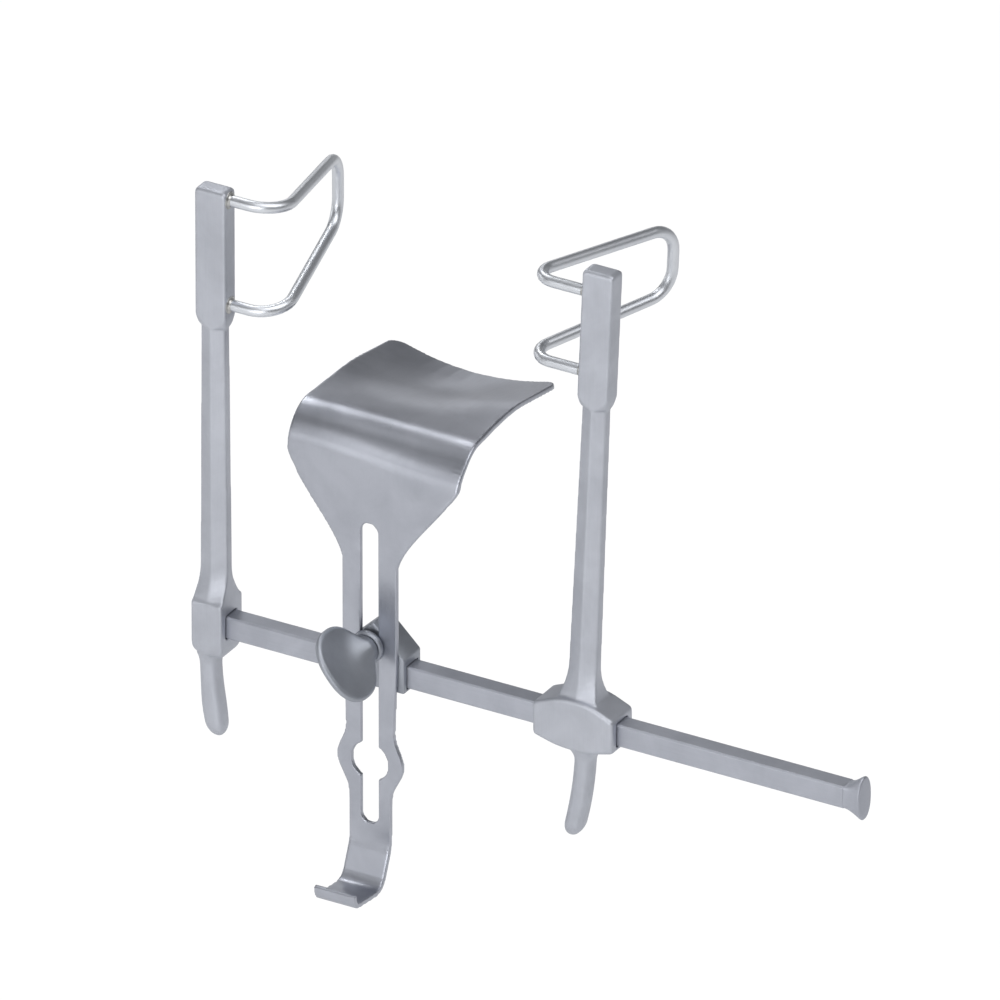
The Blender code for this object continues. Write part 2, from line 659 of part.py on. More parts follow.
def centre_block(finish):
    """The carriage: a house-shaped block on the bar, bored for the stud in its roof."""
    origin = (CARRIAGE_AXIS, 0, 0)
    x, half = CARRIAGE_WIDTH / 2, BAR_HEIGHT / 2
    outline = [
        (-x, -half - CARRIAGE_BELOW), (x, -half - CARRIAGE_BELOW), (x, half + CARRIAGE_EAVES),
        (0, half + CARRIAGE_RIDGE), (-x, half + CARRIAGE_EAVES),
    ]
    shape = prism(outline, "Y", -CARRIAGE_DEPTH / 2, CARRIAGE_DEPTH / 2)
    round_edges(shape, CARRIAGE_EDGE, 2)
    block = add_piece("centre_block", shape, origin, finish)

    y, z = BAR_DEPTH / 2 + GAP, BAR_HEIGHT / 2 + GAP
    channel = prism([(-y, -z), (y, -z), (y, z), (-y, z)], "X", -CARRIAGE_WIDTH, CARRIAGE_WIDTH)
    combine(block, add_piece("block_channel", channel, origin), "DIFFERENCE")

    back, shaft = CARRIAGE_DEPTH / 2, STUD_DIAMETER / 2 + GAP
    head = STUD_HEAD_DIAMETER / 2 + GAP
    bore = turned([(-2 * back, shaft), (back - STUD_HEAD_DEPTH - GAP, shaft), (back, head), (2 * back, head)])
    bmesh.ops.translate(bore, vec=(0, 0, STUD_HEIGHT), verts=bore.verts)
    combine(block, add_piece("block_stud_bore", bore, origin), "DIFFERENCE")
    return block


def clamp_stud(block, finish):
    """Countersunk from behind, through the roof and the blade's slot into the wing nut."""
    back, shaft, head = CARRIAGE_DEPTH / 2, STUD_DIAMETER / 2, STUD_HEAD_DIAMETER / 2
    thread, shoulder = THREAD_DIAMETER / 2, WASHER_FRONT + WASHER_THICKNESS / 2
    profile = [
        (HUB_BACK - STUD_IN_NUT, thread - GAP), (HUB_BACK - STUD_IN_NUT + GAP, thread),
        (shoulder, thread), (shoulder, shaft), (back - STUD_HEAD_DEPTH, shaft), (back, head),
    ]
    return add_piece("clamp_stud", turned(profile, count=28), stud_place(), finish, block)


def stud_place():
    return (CARRIAGE_AXIS, 0, STUD_HEIGHT)


def clamp_washer(block, finish):
    """A plain washer between the blade and the wing nut."""
    outer, inner, edge = WASHER_DIAMETER / 2, STUD_DIAMETER / 2 + GAP, GAP
    back = BLADE_FRONT - GAP
    profile = [
        (WASHER_FRONT, outer - edge), (WASHER_FRONT + edge, outer),
        (back - edge, outer), (back, outer - edge),
    ]
    washer = add_piece("clamp_washer", turned(profile, count=40), stud_place(), finish, block)
    bore = turned([(WASHER_FRONT - edge, inner), (back + edge, inner)], count=28)
    combine(washer, add_piece("washer_bore", bore, stud_place()), "DIFFERENCE")
    return washer


def wing_nut(block, finish):
    """An oval thumb plate that holds the nut's axis in its own plane, on a bullet-shaped hub."""
    hub, neck = HUB_DIAMETER / 2, HUB_NECK_DIAMETER / 2
    collar = HUB_BACK - HUB_COLLAR
    profile = [(HUB_BACK, hub - GAP), (HUB_BACK - GAP, hub), (collar + GAP, hub), (collar, hub - GAP)]
    steps = 8
    for i in range(steps):
        level = math.sin(math.radians(90) * i / steps)
        profile.append((collar - (HUB_LENGTH - HUB_COLLAR) * level, neck * math.sqrt(1 - level)))
    nut = add_piece("wing_nut", turned(profile, count=32), stud_place(), finish, block)

    centre = HUB_BACK - THUMB_SETBACK - THUMB_WIDTH / 2
    sections = []
    rim = THUMB_THICKNESS * 0.36
    for level, shrink in ((-1, rim), (-0.45, 0.0), (0.45, 0.0), (1, rim)):
        outline = oval(THUMB_LENGTH / 2 - shrink, THUMB_WIDTH / 2 - shrink, THUMB_POWER, 40)
        across = THUMB_THICKNESS / 2 * level
        sections.append([(a, centre + b, across) for a, b in outline])
    plate = loft(sections)
    turn_about_y(plate, THUMB_TURN)
    combine(nut, add_piece("thumb_plate", plate, stud_place()), "UNION")

    radius = THREAD_DIAMETER / 2 + GAP
    bore = turned([(HUB_BACK - STUD_IN_NUT - GAP, radius), (0, radius)], count=28)
    combine(nut, add_piece("nut_bore", bore, stud_place()), "DIFFERENCE")
    return nut


def turn_about_y(shape, angle):
    c, s = math.cos(angle), math.sin(angle)
    for vert in shape.verts:
        x, y, z = vert.co
        vert.co = (x * c + z * s, y, z * c - x * s)


def blade_profile():
    """Side view of the blade's mid surface about the stud, from the hook's lip to the far edge."""
    mid = (BLADE_FRONT + BLADE_BACK) / 2
    rise = BLADE_BEND_RISE
    floor_y = mid - HOOK_SLANT
    corners = [
        (0, floor_y - HOOK_LENGTH - HOOK_LIP * 0.15, -HOOK_FLOOR + HOOK_RISE + HOOK_LIP),
        (0, floor_y - HOOK_LENGTH, -HOOK_FLOOR + HOOK_RISE),
        (0, floor_y, -HOOK_FLOOR),
        (0, mid, -HOOK_KNEE),
        (0, mid, LEAN_START),
        (0, mid + BLADE_LEAN_BACK, rise),
        (0, BLADE_MID, rise - BLADE_MID_DROP),
        (0, BLADE_REACH_IN, rise - BLADE_END_DROP),
    ]
    radii = (
        HOOK_TOE_RADIUS, HOOK_HEEL_RADIUS, HOOK_KNEE_RADIUS, BLADE_LEAN_RADIUS,
        BLADE_BEND_RADIUS, BLADE_DROOP_RADIUS,
    )
    return rounded_path(corners, radii, BLADE_THICKNESS)


def along_path(path, zero_index):
    """Distance of each point along the path, counted from the stud's level."""
    lengths = [0.0]
    for a, b in zip(path, path[1:]):
        lengths.append(lengths[-1] + (b - a).length)
    zero = lengths[zero_index] - path[zero_index].z
    return [length - zero for length in lengths]


def blank_half_width(s, end):
    """Half width of the flat blank at distance s from the stud, before it is bent."""
    shank, tail = BLADE_SHANK_WIDTH / 2, BLADE_TAIL_WIDTH / 2
    if s < BLADE_NECK:
        half = shank + (tail - shank) * min(1.0, max(0.0, -s / BLADE_TAIL_TAPER))
        off = abs(s + KEYHOLE_DROP) / (KEYHOLE_CHEEK_LENGTH / 2)
        if off < 1:
            half += (KEYHOLE_CHEEK / 2 - half) * (0.5 + 0.5 * math.cos(math.pi * off))
        return half
    if s < BLADE_SHOULDER:
        t = (s - BLADE_NECK) / (BLADE_SHOULDER - BLADE_NECK)
        ease = 0.5 * t + 0.5 * t * t * (3 - 2 * t)
        return shank + (BLADE_WIDTH / 2 - shank) * ease
    t = (s - BLADE_SHOULDER) / (end - BLADE_SHOULDER)
    half = (BLADE_WIDTH + (BLADE_END_WIDTH - BLADE_WIDTH) * t) / 2
    near = BLADE_CORNER - (end - s)
    if near > 0:
        half -= BLADE_CORNER - math.sqrt(max(0.0, BLADE_CORNER**2 - near**2))
    return half


def blade_stations(start, end):
    """Distances along the blank at which it gets a row of points, closer where it curves."""
    knee, cheek = HOOK_KNEE_RADIUS * 0.65, KEYHOLE_CHEEK_LENGTH / 2
    stops = [
        (start, ROW_FINE), (-HOOK_KNEE - knee, ROW_FINE), (-HOOK_KNEE + knee, ROW_COARSE),
        (-KEYHOLE_DROP - cheek, ROW_MIDDLE), (-KEYHOLE_DROP + cheek, ROW_STRAIGHT),
        (BLADE_NECK, ROW_MIDDLE), (BLADE_SHOULDER, ROW_FINE),
        (BLADE_BEND_RISE + BLADE_BEND_RADIUS, ROW_COARSE), (end - BLADE_CORNER, ROW_FINE),
    ]
    rows = []
    for (low, step), (high, _) in zip(stops, stops[1:]):
        count = max(1, round((high - low) / step))
        rows += [low + (high - low) * i / count for i in range(count)]
    corner_steps = 6
    for i in range(corner_steps + 1):
        angle = math.radians(90) * i / corner_steps
        rows.append(end - BLADE_CORNER + BLADE_CORNER * math.sin(angle) * 0.995)
    return rows


def centre_blade(block, finish):
    """A sheet cut to a long outline with a slot and a keyhole, then bent into hook and blade."""
    path = blade_profile()
    straight = max(range(len(path) - 1), key=lambda i: (path[i + 1] - path[i]).length)
    lengths = along_path(path, straight)
    start, end = lengths[0], lengths[-1]
    shape = bmesh.new()
    columns = 12
    rings = []
    for s in blade_stations(start, end):
        k = min(i for i in range(1, len(lengths)) if lengths[i] >= s or i == len(lengths) - 1)
        t = (s - lengths[k - 1]) / (lengths[k] - lengths[k - 1])
        centre = path[k - 1].lerp(path[k], t)
        along = (path[k] - path[k - 1]).normalized()
        normal = Vector((1, 0, 0)).cross(along)
        half = blank_half_width(s, end)
        hollow = BLADE_HOLLOW * hollow_share(s, end)
        ring = []
        for j in range(columns + 1):
            u = 2 * j / columns - 1
            lift = hollow * (1 - (u * half / (BLADE_END_WIDTH / 2)) ** 2)
            ring.append(shape.verts.new(centre - normal * lift + Vector((u * half, 0, 0))))
        rings.append(ring)
    for lower, upper in zip(rings, rings[1:]):
        for j in range(columns):
            shape.faces.new((lower[j], lower[j + 1], upper[j + 1], upper[j]))
    blade = add_piece("centre_blade", shape, stud_place(), finish, block, math.radians(40))
    solid = blade.modifiers.new("sheet", "SOLIDIFY")
    solid.thickness = BLADE_THICKNESS
    solid.offset = 0.0
    solid.use_even_offset = True

    deep = 4 * BLADE_THICKNESS
    slot = prism(slot_outline(), "Y", BLADE_FRONT - deep, BLADE_BACK + deep)
    combine(blade, add_piece("blade_slot", slot, stud_place()), "DIFFERENCE")
    radius = KEYHOLE_DIAMETER / 2
    keyhole = turned([(BLADE_FRONT - deep, radius), (BLADE_BACK + deep, radius)], count=40)
    bmesh.ops.translate(keyhole, vec=(0, 0, -KEYHOLE_DROP), verts=keyhole.verts)
    combine(blade, add_piece("blade_keyhole", keyhole, stud_place()), "DIFFERENCE")
    return blade


def hollow_share(s, end):
    """How much of the far edge's hollow the blade has at distance s: none up to the bend."""
    begin = BLADE_BEND_RISE + BLADE_BEND_RADIUS / 2
    t = min(1.0, max(0.0, (s - begin) / (end - begin)))
    return t * t * (3 - 2 * t)


def slot_outline():
    """A long slot with round ends, as points of X and Z about the stud."""
    radius = SLOT_WIDTH / 2
    points = []
    steps = 12
    for centre, first in ((SLOT_ABOVE - radius, 0.0), (-SLOT_BELOW + radius, math.pi)):
        for i in range(steps + 1):
            angle = first + math.pi * i / steps
            points.append((radius * math.cos(angle), centre + radius * math.sin(angle)))
    return points


def build():
    clear_scene()
    forged = steel("satin_stainless_forging", 0.72, 0.42)
    bar_steel = steel("satin_stainless_bar", 0.70, 0.38)
    sheet = steel("satin_stainless_sheet", 0.66, 0.34)
    wire = steel("polished_stainless_wire", 0.78, 0.26)
    clamp = steel("satin_stainless_clamp", 0.55, 0.40)
    pin = steel("turned_stainless_pin", 0.62, 0.35)

    crossbar(bar_steel)
    end_stop(bar_steel.copy())
    left = fixed_arm(forged)
    fixed_arm_pin(pin)
    wire_blade(
        "fixed_wire_blade", left, wire, 1, 0.0, FIXED_TOP - FIXED_WIRE_DROP,
        FIXED_WIRE_SPAN, FIXED_WIRE_CORNER, FIXED_WIRE_SPLAY, FIXED_WIRE_BEND,
    )
    right = sliding_arm(forged.copy())
    wire_blade(
        "sliding_wire_blade", right, wire.copy(), -1, SLIDE_LEAN, SLIDE_TOP - SLIDE_WIRE_DROP,
        SLIDE_WIRE_SPAN, SLIDE_WIRE_CORNER, SLIDE_WIRE_SPLAY, SLIDE_WIRE_BEND,
    )
    block = centre_block(clamp)
    clamp_stud(block, pin.copy())
    clamp_washer(block, clamp.copy())
    wing_nut(block, clamp.copy())
    centre_blade(block, sheet)


build()
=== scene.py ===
import math

import bmesh
import bpy
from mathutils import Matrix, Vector


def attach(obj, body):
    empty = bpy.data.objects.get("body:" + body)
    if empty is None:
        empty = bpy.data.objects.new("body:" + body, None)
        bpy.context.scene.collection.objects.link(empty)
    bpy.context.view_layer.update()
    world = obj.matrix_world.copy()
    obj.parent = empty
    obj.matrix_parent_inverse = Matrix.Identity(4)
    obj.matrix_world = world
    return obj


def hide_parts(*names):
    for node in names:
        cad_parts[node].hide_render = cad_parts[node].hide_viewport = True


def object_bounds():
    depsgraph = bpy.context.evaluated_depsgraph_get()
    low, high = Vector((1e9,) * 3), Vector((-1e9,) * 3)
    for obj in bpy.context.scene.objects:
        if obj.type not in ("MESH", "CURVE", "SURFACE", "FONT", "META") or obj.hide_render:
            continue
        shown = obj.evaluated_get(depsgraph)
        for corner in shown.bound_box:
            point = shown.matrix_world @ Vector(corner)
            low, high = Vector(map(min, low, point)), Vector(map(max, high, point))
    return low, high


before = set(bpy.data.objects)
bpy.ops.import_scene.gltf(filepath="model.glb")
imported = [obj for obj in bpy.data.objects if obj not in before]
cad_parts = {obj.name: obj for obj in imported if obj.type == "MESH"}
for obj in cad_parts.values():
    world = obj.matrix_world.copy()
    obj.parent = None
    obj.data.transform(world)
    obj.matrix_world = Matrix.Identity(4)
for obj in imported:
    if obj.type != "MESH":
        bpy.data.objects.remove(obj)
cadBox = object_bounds()
mm = 0.001


def toLinear(hexColour):
    channels = []
    for i in (1, 3, 5):
        c = int(hexColour[i:i + 2], 16) / 255
        channels.append(c / 12.92 if c <= 0.04045 else ((c + 0.055) / 1.055) ** 2.4)
    return (*channels, 1.0)


def addNode(tree, kind, settings=None, links=None):
    node = tree.nodes.new(kind)
    for name, value in (settings or {}).items():
        if isinstance(name, int) or name in node.inputs:
            node.inputs[name].default_value = value
        else:
            setattr(node, name, value)
    for name, source in (links or {}).items():
        tree.links.new(source, node.inputs[name])
    return node


def makeMaterial(name):
    material = bpy.data.materials.new(name)
    material.use_nodes = True
    material.node_tree.nodes.clear()
    return material, material.node_tree


# Every steel is built from this look, and each one below says what it changes.
steelLook = {
    "colour": "#bbbec7",
    "stain": "#b1b4bd",               # duller patches that cleaning leaves
    "worn": "#cdd0d8",                # corners that hands and trays have burnished
    "roughness": 0.54,
    "roughSpread": 0.10,              # from the grain's smooth lines to its rough ones
    # The real grain lines are near 0.05 mm apart, so these are drawn coarser to show.
    "grain": (0.35, 0.35, 9.0),       # mm each way
    "grainDepth": 0.004,              # mm
    "grainRange": (0.3, 0.7),         # where the grain's noise is at its smoothest and roughest
    "cloudSize": 14.0,                # mm
    "cloudRange": (0.38, 0.66),       # where the clouds turn from clean to stained
    "scratchGap": 1.1,                # mm between hairlines
    "scratchLength": 22.0,            # mm
    "scratchTilt": (0.16, 0.21, 0.12),    # radians off the grain
    "scratchWidth": 0.012,            # share of the noise's range
    "scratchPatch": (0.55, 0.7),      # where the clouds let hairlines start and show in full
    "scratchDepth": 1.5,              # times the grain's depth
    "scratchShine": 0.10,             # taken off the roughness
    "cornerWidth": 0.35,              # mm
    "cornerTurn": (0.99, 0.88),       # cosine of the turn where wear starts and where it is full
    "cornerWear": 0.5,
    "cornerShine": 0.20,              # taken off the roughness of a corner that is fully worn
}


def steelGrain(tree, place, look):
    stretch = [1 / (length * mm) for length in look["grain"]]
    grainPlace = addNode(tree, "ShaderNodeMapping", {"Scale": stretch}, {"Vector": place})
    return addNode(tree, "ShaderNodeTexNoise", {"Scale": 1.0, "Detail": 4.0, "Roughness": 0.65},
                   {"Vector": grainPlace.outputs["Vector"]}).outputs["Fac"]


# Hairlines are the thin middle band of a long noise, kept to a few patches of the clouds.
def steelScratches(tree, place, look, cloud):
    longest = look["grain"].index(max(look["grain"]))
    stretch = [1 / (look["scratchGap"] * mm)] * 3
    stretch[longest] = 1 / (look["scratchLength"] * mm)
    tilted = addNode(tree, "ShaderNodeMapping", {"Scale": stretch, "Rotation": look["scratchTilt"]},
                     {"Vector": place})
    noise = addNode(tree, "ShaderNodeTexNoise", {"Scale": 1.0, "Detail": 0.0},
                    {"Vector": tilted.outputs["Vector"]})
    band = addNode(tree, "ShaderNodeMath", {"operation": "SUBTRACT", 1: 0.5}, {0: noise.outputs["Fac"]})
    band = addNode(tree, "ShaderNodeMath", {"operation": "ABSOLUTE"}, {0: band.outputs[0]})
    line = addNode(tree, "ShaderNodeMapRange",
                   {"From Min": 0.0, "From Max": look["scratchWidth"], "To Min": 1.0, "To Max": 0.0},
                   {"Value": band.outputs[0]})
    first, full = look["scratchPatch"]
    patch = addNode(tree, "ShaderNodeMapRange", {"From Min": first, "From Max": full}, {"Value": cloud})
    return addNode(tree, "ShaderNodeMath", {"operation": "MULTIPLY"},
                   {0: line.outputs[0], 1: patch.outputs[0]}).outputs[0]


def steelCorners(tree, look, rounded):    # corners are where the rounded normal turns off the real one
    surface = addNode(tree, "ShaderNodeNewGeometry")
    turn = addNode(tree, "ShaderNodeVectorMath", {"operation": "DOT_PRODUCT"},
                   {0: rounded, 1: surface.outputs["Normal"]})
    first, full = look["cornerTurn"]
    return addNode(tree, "ShaderNodeMapRange",
                   {"From Min": first, "From Max": full, "To Min": 0.0, "To Max": 1.0},
                   {"Value": turn.outputs["Value"]}).outputs[0]


def makeSteel(name, changes):
    look = {**steelLook, **changes}
    material, tree = makeMaterial(name)
    place = addNode(tree, "ShaderNodeTexCoord").outputs["Object"]
    cloud = addNode(tree, "ShaderNodeTexNoise",
                    {"Scale": 1 / (look["cloudSize"] * mm), "Detail": 5.0, "Roughness": 0.6,
                     "Distortion": 0.4},
                    {"Vector": place}).outputs["Fac"]
    rounded = addNode(tree, "ShaderNodeBevel",
                      {"samples": 6, "Radius": look["cornerWidth"] * mm}).outputs["Normal"]
    grain = steelGrain(tree, place, look)
    scratch = steelScratches(tree, place, look, cloud)
    corner = steelCorners(tree, look, rounded)

    clean, stain = look["cloudRange"]
    stained = addNode(tree, "ShaderNodeMapRange", {"From Min": clean, "From Max": stain},
                      {"Value": cloud})
    colour = addNode(tree, "ShaderNodeMix",
                     {"data_type": "RGBA", 6: toLinear(look["colour"]), 7: toLinear(look["stain"])},
                     {0: stained.outputs[0]})
    worn = addNode(tree, "ShaderNodeMath", {"operation": "MULTIPLY", 1: look["cornerWear"]},
                   {0: corner})
    colour = addNode(tree, "ShaderNodeMix", {"data_type": "RGBA", 7: toLinear(look["worn"])},
                     {0: worn.outputs[0], 6: colour.outputs[2]})

    low = look["roughness"] - look["roughSpread"] / 2
    high = look["roughness"] + look["roughSpread"] / 2
    smoothest, roughest = look["grainRange"]
    rough = addNode(tree, "ShaderNodeMapRange",
                    {"From Min": smoothest, "From Max": roughest, "To Min": low, "To Max": high},
                    {"Value": grain})
    cornerShine = look["cornerShine"] * look["cornerWear"]
    for shine, source in ((cornerShine, corner), (look["scratchShine"], scratch)):
        rough = addNode(tree, "ShaderNodeMath", {"operation": "MULTIPLY_ADD", 1: -shine},
                        {0: source, 2: rough.outputs[0]})

    height = addNode(tree, "ShaderNodeMath", {"operation": "MULTIPLY_ADD", 1: -look["scratchDepth"]},
                     {0: scratch, 2: grain})
    bump = addNode(tree, "ShaderNodeBump", {"Strength": 1.0, "Distance": look["grainDepth"] * mm},
                   {"Height": height.outputs[0], "Normal": rounded})
    shader = addNode(tree, "ShaderNodeBsdfPrincipled", {"Metallic": 1.0},
                     {"Base Color": colour.outputs[2], "Roughness": rough.outputs[0],
                      "Normal": bump.outputs[0]})
    addNode(tree, "ShaderNodeOutputMaterial", links={"Surface": shader.outputs[0]})
    return material


# Satin from a belt run along the arm: long soft streaks, no mirror edge anywhere.
forged = makeSteel("beltSatinForgedStainless", {
    "colour": "#c4c7cf", "stain": "#babdc5", "worn": "#d0d3da",
})

# Drawn bar keeps its die lines along its length, which draws its reflections out sideways.
bar = makeSteel("drawnStainlessBar", {"grain": (9.0, 0.35, 0.35)})

# The wires are buffed, so they alone show narrow highlights.
wire = makeSteel("buffedStainlessWire", {
    "colour": "#dde0e5", "stain": "#d4d7dd", "worn": "#e4e6ea", "roughness": 0.38,
})

# Rolled sheet is brushed along the blade and round its bends, so the streaks follow the bend.
sheet = makeSteel("brushedRolledStainlessSheet", {
    "colour": "#b6b9c2", "stain": "#acafb8", "roughness": 0.36,
    "grain": (0.30, 9.0, 9.0), "cornerWear": 0.0,
})

# Bead blasting leaves the clamp an even, darker grey with a fine speckle and no direction.
clamp = makeSteel("beadBlastedStainless", {
    "colour": "#a9adb5", "stain": "#9ea2aa", "worn": "#b7bbc2", "roughness": 0.5,
    "grain": (0.3, 0.3, 0.3), "cornerWear": 0.4,
})

# Silver solder flows warmer and smoother than the steel it joins.
solder = makeSteel("silverSolderFillet", {
    "colour": "#c3c3c2", "stain": "#b9b8b5", "roughness": 0.34,
    "grain": (0.6, 0.6, 0.6), "cornerWear": 0.0,
})
print("steels made")


nodeFinishes = {
    "crossbar": bar, "fixed_arm": forged, "sliding_arm": forged, "fixed_arm_pin": clamp,
    "fixed_wire_blade": wire, "sliding_wire_blade": wire,
    "centre_block": clamp, "clamp_stud": clamp,
}
smoothing = {
    "angle": 28.0,          # degrees; flatter joints between facets are shaded smooth
    "weld": 0.001,          # mm
    "forgedNodes": ("fixed_arm", "sliding_arm"),
    "forgedCell": 0.30,     # mm; the arms' corners come out this soft
    "forgedPasses": 12,
    "factor": 0.5,          # share of the way to its neighbours that each pass moves a point
}


def smoothGroup(angle):
    group = bpy.data.node_groups.new("smoothShallowEdges", "GeometryNodeTree")
    group.interface.new_socket("Geometry", in_out="INPUT", socket_type="NodeSocketGeometry")
    group.interface.new_socket("Geometry", in_out="OUTPUT", socket_type="NodeSocketGeometry")
    enter = addNode(group, "NodeGroupInput")
    weld = addNode(group, "GeometryNodeMergeByDistance", {"Distance": smoothing["weld"] * mm},
                   {"Geometry": enter.outputs[0]})
    smooth = addNode(group, "GeometryNodeSetShadeSmooth", {"domain": "FACE"},
                     {"Geometry": weld.outputs[0]})
    edge = addNode(group, "GeometryNodeInputMeshEdgeAngle")
    steep = addNode(group, "FunctionNodeCompare",
                    {"data_type": "FLOAT", "operation": "GREATER_THAN", 1: angle},
                    {0: edge.outputs["Unsigned Angle"]})
    sharp = addNode(group, "GeometryNodeSetShadeSmooth", {"domain": "EDGE", "Shade Smooth": False},
                    {"Geometry": smooth.outputs[0], "Selection": steep.outputs[0]})
    addNode(group, "NodeGroupOutput", links={"Geometry": sharp.outputs[0]})
    return group


def soften(piece, cell, passes):    # melts the corners of a solid as forging and polishing do
    remesh = piece.modifiers.new("cells", "REMESH")
    remesh.mode = "VOXEL"
    remesh.voxel_size = cell * mm
    remesh.use_smooth_shade = True
    smooth = piece.modifiers.new("polish", "SMOOTH")
    smooth.factor = smoothing["factor"]
    smooth.iterations = passes


def dressNodes():
    group = smoothGroup(math.radians(smoothing["angle"]))
    for node, material in nodeFinishes.items():
        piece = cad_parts[node]
        normals = piece.data.attributes.get("custom_normal")
        if normals:
            piece.data.attributes.remove(normals)
        piece.data.materials.clear()
        piece.data.materials.append(material)
        piece.modifiers.new("smoothShallowEdges", "NODES").node_group = group
        if node in smoothing["forgedNodes"]:
            soften(piece, smoothing["forgedCell"], smoothing["forgedPasses"])


dressNodes()
print("CAD nodes dressed")


def addPiece(name, shape, material, body, place=(0, 0, 0), nodes=()):
    bmesh.ops.recalc_face_normals(shape, faces=shape.faces)
    for face in shape.faces:
        face.smooth = True
    mesh = bpy.data.meshes.new(name)
    shape.to_mesh(mesh)
    shape.free()
    mesh.materials.append(material)
    piece = bpy.data.objects.new(name, mesh)
    piece.location = [c * mm for c in place]
    bpy.context.scene.collection.objects.link(piece)
    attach(piece, body)
    if nodes:
        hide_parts(*nodes)
    return piece


def loft(sections, closed=False):    # rings of points in mm; closed joins the last ring to the first
    shape = bmesh.new()
    rings = [[shape.verts.new([c * mm for c in point]) for point in section] for section in sections]
    pairs = list(zip(rings, rings[1:])) + ([(rings[-1], rings[0])] if closed else [])
    for ring, following in pairs:
        for i in range(len(ring)):
            j = (i + 1) % len(ring)
            shape.faces.new((ring[i], ring[j], following[j], following[i]))
    if not closed:
        shape.faces.new(list(reversed(rings[0])))
        shape.faces.new(rings[-1])
    return shape


def oval(halfA, halfB, power, count):    # a superellipse; power 2 is an ellipse, and more is squarer
    points = []
    for i in range(count):
        c, s = math.cos(2 * math.pi * i / count), math.sin(2 * math.pi * i / count)
        points.append((halfA * math.copysign(abs(c) ** (2 / power), c),
                       halfB * math.copysign(abs(s) ** (2 / power), s)))
    return points


def turned(profile, count, axis, closed=False):    # profile is (place along the axis, radius) in mm
    sections = []
    for along, radius in profile:
        ring = []
        for i in range(count):
            angle = 2 * math.pi * i / count
            a, b = radius * math.cos(angle), radius * math.sin(angle)
            ring.append((along, a, b) if axis == "X" else (a, along, b))
        sections.append(ring)
    return loft(sections, closed)


blade = {    # mm unless a line says otherwise; the table is the broad top past the bend
    "cell": 0.30,
    "passes": 3,                   # smoothing of the cut edges
    "middle": 54.0,                # along X
    "halfWidth": 23.0,             # to where the dish runs out
    "dish": 1.6,                   # deeper than the plain sheet at the table's middle
    "dishAlong": (12.0, 56.0),     # along Y, where the dish starts and ends
    "above": 50.0,                 # only the table above this height is dished
    "bend": (-5.5, 77.1),          # along Y and Z, where the shank's plane would meet the table's
    "press": (1.0, 3.3),           # how far the bend is pressed in at its left and right end
    "pressAlong": (36.0, 84.0),    # along X, where those two ends are
    "pressReach": (21.0, 38.0),    # from the bend, down the shank and along the table
    "spread": 0.9,                 # how far the right edge stands out at the bend
    "spreadReach": 27.0,           # from the bend, both ways
    "studX": 58.8,                 # along X
    "rollPasses": 150,             # smoothing of the bend, away from the cut edges
    "rollEdge": 26.0,              # each side of the stud that this smoothing reaches
    "rollFrom": 58.0,              # along Z, on the shank
    "rollTo": 46.0,                # along Y, on the table
    "rollFade": 5.0,               # over which it dies out
}


def ramp(t):    # eases from 0 to 1
    t = min(1.0, max(0.0, t))
    return t * t * (3 - 2 * t)


def hump(t):    # 1 in the middle, and eases to 0 at -1 and 1
    return math.cos(math.pi / 2 * t) ** 2 if abs(t) < 1 else 0.0


def makeBlade():    # the sheet again, fine enough for rounded edges and a dish beaten into its table
    b = blade
    dishFrom, dishTo = b["dishAlong"]
    leftEnd, rightEnd = b["pressAlong"]
    left, right = b["press"]
    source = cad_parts["centre_blade"].data.copy()
    normals = source.attributes.get("custom_normal")
    if normals:
        source.attributes.remove(normals)
    piece = bpy.data.objects.new("centreBladeSheet", source)
    bpy.context.scene.collection.objects.link(piece)
    soften(piece, b["cell"], b["passes"])
    fine = bpy.data.meshes.new_from_object(piece.evaluated_get(bpy.context.evaluated_depsgraph_get()))
    piece.modifiers.clear()
    piece.data = fine
    bpy.data.meshes.remove(source)
    for vert in fine.vertices:
        x, y, z = vert.co / mm
        across = (x - b["middle"]) / b["halfWidth"]
        along = (y - dishFrom) / (dishTo - dishFrom)
        if z > b["above"] and abs(across) < 1 and 0 < along < 1:
            vert.co.z -= b["dish"] * mm * (1 - across ** 2) ** 2 * math.sin(math.pi * along) ** 2
        past = (y - b["bend"][0]) + (z - b["bend"][1])    # below 0 on the shank, above 0 on the table
        press = left + (right - left) * ramp((x - leftEnd) / (rightEnd - leftEnd))
        press *= hump(past / b["pressReach"][past > 0])
        spread = b["spread"] * ramp((x - b["middle"]) / b["halfWidth"]) * hump(past / b["spreadReach"])
        vert.co += Vector((spread, press * math.sqrt(0.5), -press * math.sqrt(0.5))) * mm
    rolled = piece.vertex_groups.new(name="rolled")
    for vert in fine.vertices:
        x, y, z = vert.co / mm
        room = min(b["rollEdge"] - abs(x - b["studX"]), z - b["rollFrom"], b["rollTo"] - y)
        if room > 0:
            rolled.add([vert.index], ramp(room / b["rollFade"]), "REPLACE")
    roll = piece.modifiers.new("roll", "SMOOTH")
    roll.factor = smoothing["factor"]
    roll.iterations = b["rollPasses"]
    roll.vertex_group = rolled.name
    fine.materials.clear()
    fine.materials.append(sheet)
    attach(piece, "blade")
    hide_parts("centre_blade")


makeBlade()
print("blade made")


